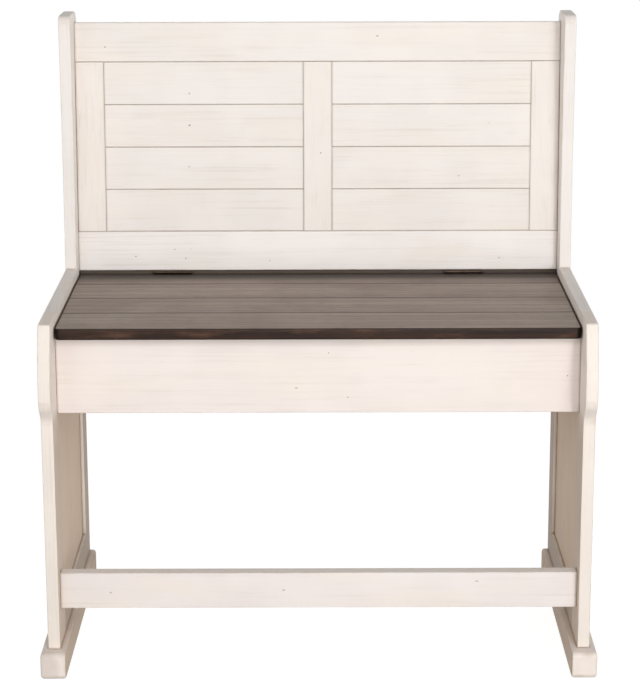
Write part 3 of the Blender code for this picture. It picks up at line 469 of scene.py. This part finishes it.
def dress(name, suffix, material):
    """A finished copy of a CAD board: smooth rounded edges that know where they are, so that
    the paint can wear there. It stands for the CAD node and rides on the same body."""
    source = nodes[name]
    mesh = bpy.data.meshes.new(name + suffix)
    build = bmesh.new()
    build.from_mesh(source.data)
    bmesh.ops.remove_doubles(build, verts=build.verts, dist=WELD)
    bmesh.ops.dissolve_limit(build, angle_limit=FLAT, verts=build.verts, edges=build.edges)
    bmesh.ops.recalc_face_normals(build, faces=build.faces)
    edge = build.verts.layers.float.new("edge")
    for vertex in build.verts:
        widths = [2 * face.calc_area() / face.calc_perimeter() for face in vertex.link_faces]
        vertex[edge] = float(max(widths) < NARROW)
    for face in build.faces:
        face.smooth = True
        face.material_index = 0
    for side in build.edges:
        side.smooth = side.calc_face_angle(0) < SHARP
    build.to_mesh(mesh)
    build.free()
    if "custom_normal" in mesh.attributes:
        mesh.attributes.remove(mesh.attributes["custom_normal"])
    mesh.materials.append(material)
    piece = bpy.data.objects.new(name + suffix, mesh)
    bpy.context.scene.collection.objects.link(piece)
    normals = piece.modifiers.new("normals", "WEIGHTED_NORMAL")
    normals.keep_sharp = True
    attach(piece, source["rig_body"])
    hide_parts(name)


# Finishes. A mark is the centre of a speck, darker patch or painted shadow, its radii and its
# strength.
SPECK = (0.0016, 0.003, 0.0013)
LONG_SPECK = (0.0030, 0.004, 0.0013)
planks_paint = paint("paint_planks", "X", [
    ((-0.2354, 0.2278, 0.8816), (0.0022, 0.004, 0.0018), 0.75),
    ((0.2600, 0.2216, 0.7878), SPECK, 0.6),
    ((-0.2600, 0.2147, 0.6850), (0.036, 0.010, 0.0022), 0.45)], joints=BACK_JOINTS)
top_rail_paint = paint("paint_top_rail", "X", [
    ((0.1093, 0.2386, 1.0434), LONG_SPECK, 0.6),
    ((0.2840, 0.2404, 1.0705), (0.045, 0.006, 0.0030), 0.5)])
# painted light: a lighter tint on the bottom rail, for the light that the seat throws up on it
bottom_rail_paint_and_light = paint("paint_bottom_rail", "X", [
    ((-0.3382, 0.2117, 0.6392), SPECK, 0.7),
    ((-0.2454, 0.2115, 0.6354), SPECK, 0.7),
    ((-0.2656, 0.2126, 0.6523), SPECK, 0.5),
    ((0.3360, 0.2115, 0.6354), SPECK, 0.6)], tint=(250, 244, 240))
apron_paint = paint("paint_apron", "X", [
    ((-0.0372, -0.2000, 0.4975), LONG_SPECK, 0.55),
    # painted shadow of the lid across the top of the apron
    ((0.0, -0.2000, APRON_TOP), (1.0, 0.020, 0.018), 0.17)], tint=(243, 232, 226))
# painted light: the foot rail's top is painted lighter than its front
foot_rail_paint = paint("paint_foot_rail", "X", [
    ((-0.3574, -0.2360, 0.1439), SPECK, 0.8),
    ((-0.0601, -0.2360, 0.1476), LONG_SPECK, 0.6),
    ((0.2713, -0.2360, 0.1630), (0.0040, 0.004, 0.0012), 0.5)], tint=(242, 233, 229),
    painted_light_top=(253, 248, 244))
long_paint = paint("paint_long", "X")
upright_paint = paint("paint_upright", "Z", joints=BACK_JOINTS)
# These tints under the seat are glaze and painted shade on the inward faces.
stile_paint = paint("paint_stile", "Z", tint=(243, 232, 222), glaze_and_shade=(230, 220, 210))
panel_paint = paint("paint_panel", "Z", glaze_and_shade=(240, 222, 202))
deep_paint = paint("paint_deep", "Y")
foot_paint = paint("paint_foot", "Y", [
    # painted shade on the outer front corner of the left foot
    ((-0.4640, -0.2860, 0.0240), (0.022, 0.030, 0.036), 0.18)], tint=(243, 231, 222),
    glaze_and_shade=(214, 202, 186))
seat_stain = stain("stain_seat", "X", joints=SEAT_JOINTS)
# painted light: the rail's stain is lighter than the seat's, for the shade it sits in, with little
# painted dark reflection on its edges
rail_stain_painted_light = stain("stain_rail", "X", edges=0.2,
                   sides=((108, 97, 88), (122, 110, 100), (132, 119, 108)))
pine_long = pine("pine_long", "X")
pine_deep = pine("pine_deep", "Y")
pine_upright = pine("pine_upright", "Z")
plywood = ply("plywood_birch")
bronze = metal("bronze_oiled", (78, 66, 57), (58, 48, 41), 0.42, (40, 900, 900))
zinc = metal("zinc_bright", (176, 178, 182), (148, 150, 154), 0.30)
nylon = plastic("nylon_grey")

boards = {
    "back_top_rail": top_rail_paint,
    "back_bottom_rail": bottom_rail_paint_and_light,
    "back_left_stile": upright_paint,
    "back_middle_stile": upright_paint,
    "back_right_stile": upright_paint,
    "foot_rail": foot_rail_paint,
    "front_apron": apron_paint,
    "rear_apron": long_paint,
}
for side in ("left", "right"):
    for count in range(1, 5):
        boards[f"back_{side}_plank_{count}"] = planks_paint
    boards[f"{side}_front_stile"] = stile_paint
    boards[f"{side}_post"] = upright_paint
    boards[f"{side}_arm_rail"] = deep_paint
    boards[f"{side}_bottom_rail"] = deep_paint
    boards[f"{side}_infill_panel"] = panel_paint
    boards[f"{side}_foot"] = foot_paint
for name, material in boards.items():
    dress(name, "_painted", material)
for count in range(1, 5):
    dress(f"seat_plank_{count}", "_stained", seat_stain)
dress("seat_rear_rail", "_stained", rail_stain_painted_light)


def refinish(material, *names):
    """Gives these CAD nodes, which show as they are, a finished material."""
    for name in names:
        nodes[name].material_slots[0].material = material


refinish(pine_long, "front_floor_cleat", "rear_floor_cleat")
refinish(pine_deep, "lid_left_batten", "lid_middle_batten", "lid_right_batten")
refinish(plywood, "storage_floor")
for side in ("left", "right"):
    for end in ("front", "rear"):
        refinish(pine_upright, f"{end}_{side}_corner_block")
        refinish(zinc, f"{end}_{side}_corner_bolt")
        refinish(nylon, f"{end}_{side}_glide")
    refinish(bronze, f"{side}_hinge_frame_leaf", f"{side}_hinge_lid_leaf", f"{side}_hinge_pin")


def add_screw(build, place, facing, radius, rise):
    """A round screw head with a cross recess, flush with the board round it but for its rise."""
    made = []
    rings = []
    for reach, height in ((1.0, -SCREW_ROOT), (1.0, HEAD_SHOULDER * rise), (HEAD_TOP, rise)):
        ring = []
        for count in range(SCREW_SIDES):
            turn = 2 * math.pi * count / SCREW_SIDES
            x = reach * radius * math.cos(turn)
            y = reach * radius * math.sin(turn)
            ring.append(build.verts.new((x, y, height)))
        rings.append(ring)
        made += ring
    for low, high in zip(rings, rings[1:]):
        for count in range(SCREW_SIDES):
            side = (low[count - 1], low[count], high[count], high[count - 1])
            build.faces.new(side).smooth = True
    build.faces.new(rings[0][::-1])
    arm = CROSS_ARM * radius
    slot = CROSS_SLOT * radius
    outline = [(arm, slot), (slot, slot), (slot, arm)]
    for turn in range(1, 4):
        quarter = Matrix.Rotation(math.pi / 2 * turn, 2)
        outline += [quarter @ Vector(corner) for corner in outline[:3]]
    rim = [build.verts.new((x, y, rise)) for x, y in outline]
    bottom = []
    for x, y in outline:
        bottom.append(build.verts.new((CROSS_TAPER * x, CROSS_TAPER * y, CROSS_FLOOR * rise)))
    made += rim + bottom
    for count in range(len(rim)):
        wall = (rim[count], rim[count - 1], bottom[count - 1], bottom[count])
        build.faces.new(wall).material_index = 1
    build.faces.new(bottom).material_index = 1
    borders = []
    for loop in (rings[-1], rim):
        for count in range(len(loop)):
            borders.append(build.edges.get((loop[count - 1], loop[count])))
    bmesh.ops.triangle_fill(build, use_beauty=True, edges=borders)
    turned = Vector((0, 0, 1)).rotation_difference(Vector(facing)).to_matrix().to_4x4()
    bmesh.ops.transform(build, matrix=Matrix.Translation(place) @ turned, verts=made)


def screws(name, node, facing, places, material, radius=SCREW_RADIUS, rise=SCREW_RISE):
    """Screw heads at these places on a CAD node, on the same body."""
    build = bmesh.new()
    for place in places:
        add_screw(build, place, facing, radius, rise)
    bmesh.ops.recalc_face_normals(build, faces=build.faces)
    mesh = bpy.data.meshes.new(name)
    build.to_mesh(mesh)
    build.free()
    mesh.materials.append(material)
    mesh.materials.append(recess)
    piece = bpy.data.objects.new(name, mesh)
    bpy.context.scene.collection.objects.link(piece)
    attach(piece, nodes[node]["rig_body"])


# The screws that hold the hinges, the battens, the corner blocks, the cleats and the feet
recess = metal("screw_recess", (52, 50, 48), (30, 28, 26), 0.55)
for side in ("left", "right"):
    for leaf, y, outward in (("frame", LEAF_FRAME_FACE, -1), ("lid", LEAF_LID_FACE, 1)):
        node = f"{side}_hinge_{leaf}_leaf"
        low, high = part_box(node)
        middle = (low[0] + high[0]) / 2
        where = [(middle - LEAF_SCREW_STEP, y, LEAF_SCREW_HIGH), (middle, y, LEAF_SCREW_LOW),
                 (middle + LEAF_SCREW_STEP, y, LEAF_SCREW_HIGH)]
        screws(f"{node}_screws", node, (0, outward, 0), where, bronze,
               LEAF_SCREW_RADIUS, LEAF_SCREW_RISE)
    for end, y_side, outward in (("front", 1, 1), ("rear", 0, -1)):
        node = f"{end}_{side}_corner_block"
        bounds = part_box(node)
        middle = (bounds[0][0] + bounds[1][0]) / 2
        where = [(middle, bounds[y_side][1], bounds[0][2] + BLOCK_SCREW_INSET),
                 (middle, bounds[y_side][1], bounds[1][2] - BLOCK_SCREW_INSET)]
        screws(f"{node}_screws", node, (0, outward, 0), where, zinc)
    node = f"{side}_foot"
    low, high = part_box(node)
    middle = (low[0] + high[0]) / 2
    where = [(middle, y, low[2]) for y in FOOT_SCREWS]
    screws(f"{node}_screws", node, (0, 0, -1), where, zinc, FOOT_SCREW_RADIUS)
for name in ("left", "middle", "right"):
    node = f"lid_{name}_batten"
    low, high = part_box(node)
    middle = (low[0] + high[0]) / 2
    where = []
    for count, y in enumerate(BATTEN_SCREWS):
        where.append((middle + BATTEN_SCREW_STEP * (-1) ** count, y, low[2]))
    screws(f"{node}_screws", node, (0, 0, -1), where, zinc)
for end, y_side, outward in (("front", 1, 1), ("rear", 0, -1)):
    node = f"{end}_floor_cleat"
    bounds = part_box(node)
    middle = (bounds[0][2] + bounds[1][2]) / 2
    where = [(x, bounds[y_side][1], middle) for x in CLEAT_SCREWS]
    screws(f"{node}_screws", node, (0, outward, 0), where, zinc, CLEAT_SCREW_RADIUS)


def seen_directly(tree):
    """1 for a camera, glossy or transmission ray, and 0 for the light that falls on things."""
    rays = add_node(tree, "LightPath").outputs
    total = rays["Is Camera Ray"]
    for name in ("Is Glossy Ray", "Is Transmission Ray"):
        larger = add_node(tree, "Math", {0: total, 1: rays[name]}, operation="MAXIMUM")
        total = larger.outputs[0]
    return total


def make_world():
    """A white background. Its light comes from the walls more than from the ceiling."""
    world = bpy.data.worlds.new("room")
    world.use_nodes = True
    bpy.context.scene.world = world
    tree = world.node_tree
    tree.nodes.clear()
    white = (1, 1, 1, 1)
    seen = add_node(tree, "Background", {"Color": white, "Strength": WHITE_LEVEL})
    place = add_node(tree, "TexCoord").outputs["Generated"]
    upward = add_node(tree, "SeparateXYZ", {0: place}).outputs["Z"]
    level = add_node(tree, "MapRange", {"Value": upward, "From Min": WALL_TOP,
                                        "From Max": CEILING_EDGE, "To Min": WALL_LEVEL,
                                        "To Max": CEILING_LEVEL}, interpolation_type="SMOOTHSTEP")
    room = add_node(tree, "Background", {"Color": white, "Strength": level.outputs[0]})
    mix = add_node(tree, "MixShader", {0: seen_directly(tree), 1: room.outputs[0],
                                       2: seen.outputs[0]})
    add_node(tree, "OutputWorld", {0: mix.outputs[0]})


def make_floor():
    """A plain pale floor. Seen directly it is as white as the room, less the object's shadow,
    and further out it runs into the background."""
    mesh = bpy.data.meshes.new("floor")
    half = FLOOR_SIZE / 2
    corners = [(-half, -half, 0), (half, -half, 0), (half, half, 0), (-half, half, 0)]
    mesh.from_pydata(corners, [], [(0, 1, 2, 3)])
    floor = bpy.data.objects.new("floor", mesh)
    bpy.context.scene.collection.objects.link(floor)
    material = bpy.data.materials.new("floor_white")
    material.use_nodes = True
    tree = material.node_tree
    tree.nodes.clear()
    bounce = add_node(tree, "BsdfDiffuse", {"Color": (FLOOR_BOUNCE, FLOOR_BOUNCE, FLOOR_BOUNCE, 1)})
    dimmed = add_node(tree, "BsdfDiffuse", {"Color": (FLOOR_SHADE, FLOOR_SHADE, FLOOR_SHADE, 1)})
    glow = add_node(tree, "Emission", {"Strength": FLOOR_GLOW})
    near = add_node(tree, "AddShader", {0: dimmed.outputs[0], 1: glow.outputs[0]})
    far = add_node(tree, "Emission", {"Strength": WHITE_LEVEL})
    place = add_node(tree, "TexCoord").outputs["Object"]
    away = add_node(tree, "VectorMath", {0: place}, operation="LENGTH").outputs["Value"]
    blend = add_node(tree, "MapRange", {"Value": away, "From Min": FLOOR_NEAR,
                                        "From Max": FLOOR_FAR}, interpolation_type="SMOOTHSTEP")
    seen = add_node(tree, "MixShader", {0: blend.outputs[0], 1: near.outputs[0],
                                        2: far.outputs[0]})
    mix = add_node(tree, "MixShader", {0: seen_directly(tree), 1: bounce.outputs[0],
                                       2: seen.outputs[0]})
    add_node(tree, "OutputMaterial", {0: mix.outputs[0]})
    mesh.materials.append(material)


def make_lamp(name, place, size, power):
    lamp = bpy.data.lights.new(name, "AREA")
    lamp.shape = "SQUARE"
    lamp.size = size
    lamp.energy = power
    holder = bpy.data.objects.new(name, lamp)
    holder.visible_camera = False
    bpy.context.scene.collection.objects.link(holder)
    holder.location = place
    aim = Vector(LAMP_TARGET) - Vector(place)
    holder.rotation_euler = aim.to_track_quat("-Z", "Y").to_euler()


def make_camera():
    lens = bpy.data.cameras.new("camera")
    lens.lens = CAMERA_LENS
    lens.sensor_width = SENSOR
    lens.sensor_fit = "AUTO"
    camera = bpy.data.objects.new("camera", lens)
    bpy.context.scene.collection.objects.link(camera)
    pitch = Matrix.Rotation(math.pi / 2 + CAMERA_PITCH, 4, "X")
    roll = Matrix.Rotation(CAMERA_ROLL, 4, "Z")
    camera.matrix_world = Matrix.Translation(CAMERA_PLACE) @ (pitch @ roll)
    bpy.context.scene.camera = camera


make_world()
make_floor()
for name, (place, size, power) in LAMPS.items():
    make_lamp(name, place, size, power)
make_camera()
bpy.context.scene.view_settings.view_transform = "Standard"
